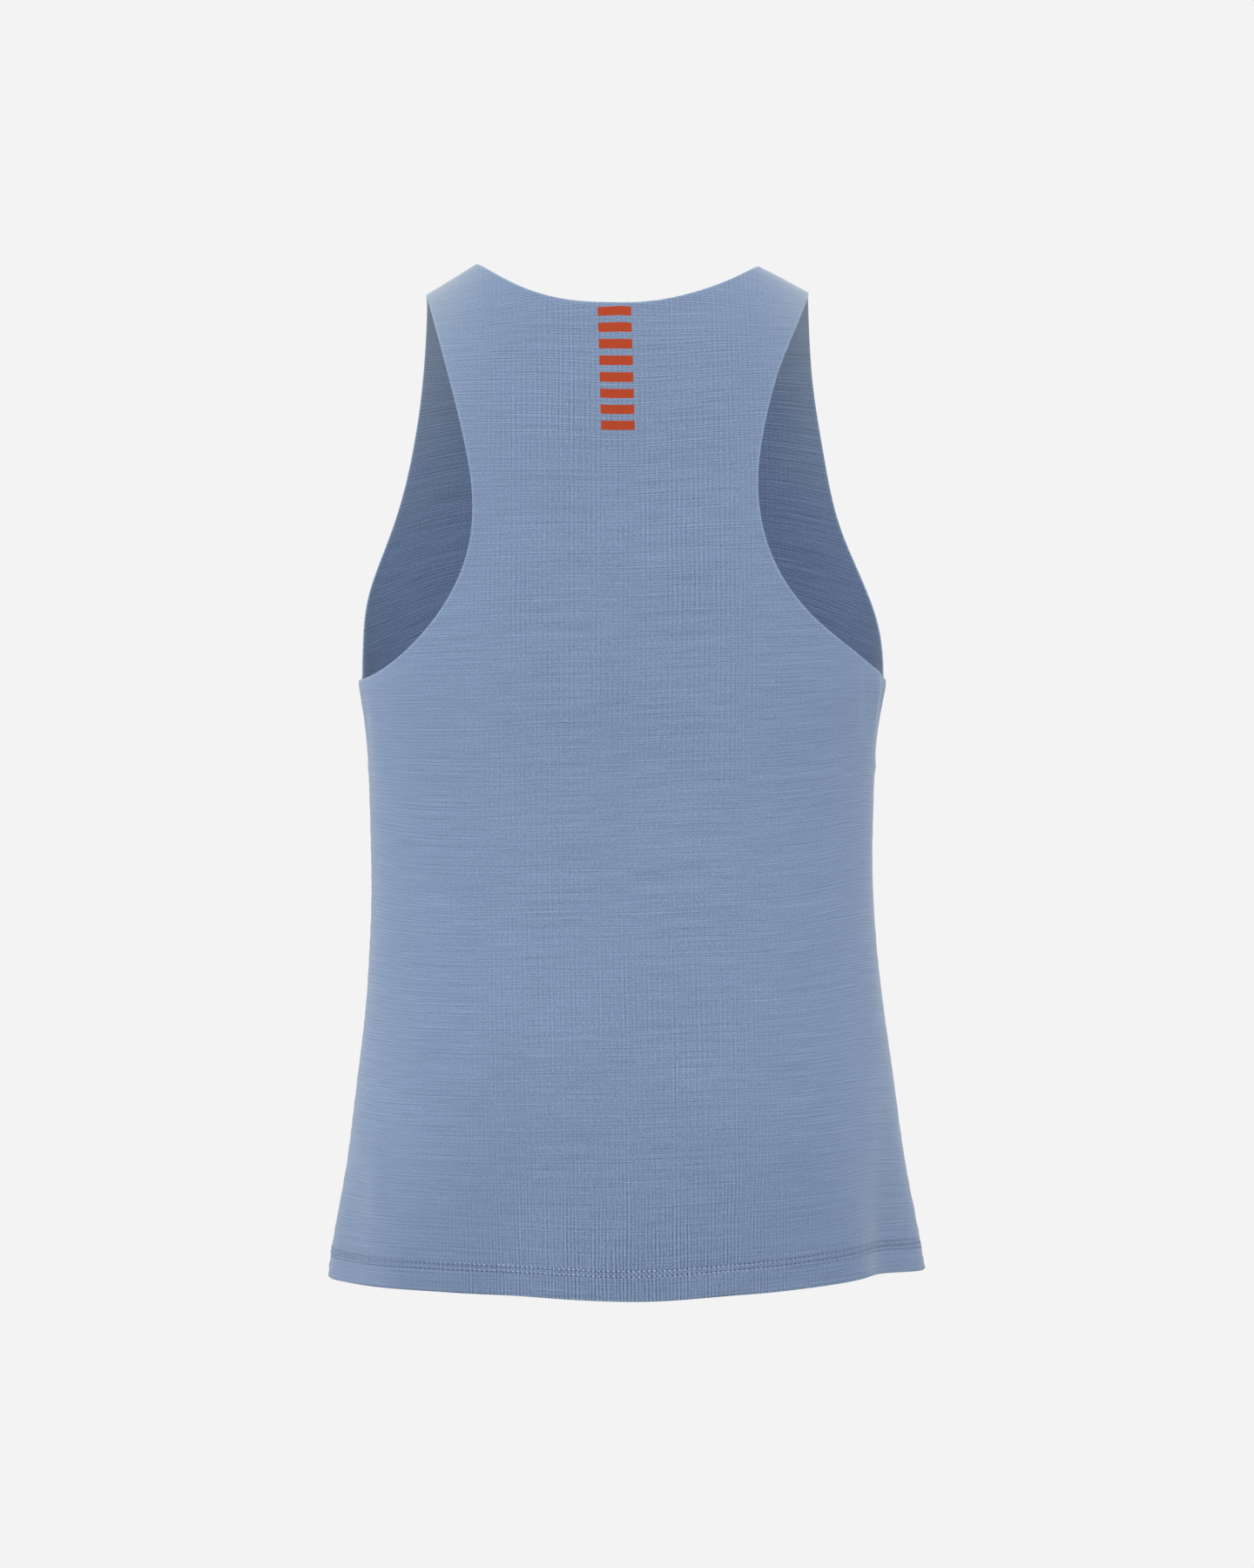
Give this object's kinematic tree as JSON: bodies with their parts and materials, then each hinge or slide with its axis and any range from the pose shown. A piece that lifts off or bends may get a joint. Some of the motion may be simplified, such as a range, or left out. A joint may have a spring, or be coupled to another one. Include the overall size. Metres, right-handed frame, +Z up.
{
  "type": "sleeveless tennis top",
  "caption": "Sleeveless scoop-neck tennis top in thin jersey, filled out as worn, with deep armholes and a slightly flared turned-up hem.",
  "frame": {"origin": "midway between the two shoulder straps, at the height of their middle, where the wearer's shoulders hold the top up", "axes": "+Z up from hem to neck, front faces -Y, the wearer's left is +X"},
  "size_m": [0.366, 0.2542, 0.6192],
  "materials": {
    "jersey": "matt steel-blue melange jersey with fine horizontal slubs"
  },
  "bodies": {
    "root": {"back_panel": "jersey", "front_panel": "jersey"}
  },
  "joints": []
}
